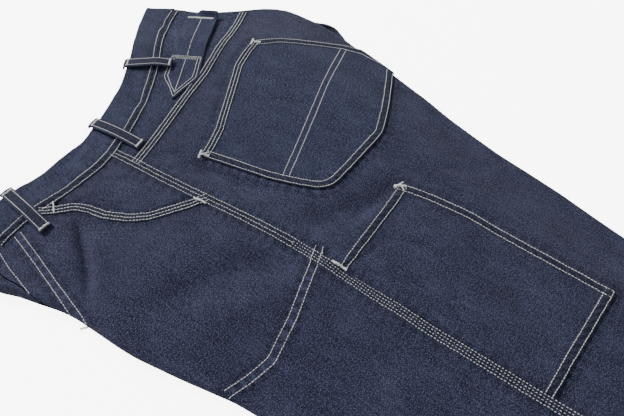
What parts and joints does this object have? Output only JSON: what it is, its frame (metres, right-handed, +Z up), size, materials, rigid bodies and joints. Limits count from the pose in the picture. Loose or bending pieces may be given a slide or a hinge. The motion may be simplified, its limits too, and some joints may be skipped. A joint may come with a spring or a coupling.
{
  "type": "painter trousers",
  "caption": "Denim painter trousers laid on their side with the legs stacked, with a waistband, belt loops, front, back and tool pockets and a cinch strap.",
  "frame": {"origin": "middle of the laid trousers' outline, on the surface that they lie on", "axes": "+X from the wearer's front to the back, +Y up the legs to the waist, +Z up from the surface"},
  "size_m": [0.4469, 1.1167, 0.03],
  "materials": {
    "denim": "matt twill, slightly worn",
    "button_metal": "worn antique"
  },
  "bodies": {
    "root": {"hidden_layers": "denim", "front_left": "denim", "front_right_edge": "denim", "pocket_facing_left": "denim", "yoke_left": "denim", "cinch_strap": "denim", "back_left": "denim", "back_pocket_left": "denim", "tool_pocket": "denim", "waistband_left": "denim", "waistband_right": "denim", "hem_left": "denim", "hem_right": "denim", "belt_loop_front": "denim", "belt_loop_side": "denim", "belt_loop_back": "denim", "waist_button": "button_metal"}
  },
  "joints": []
}
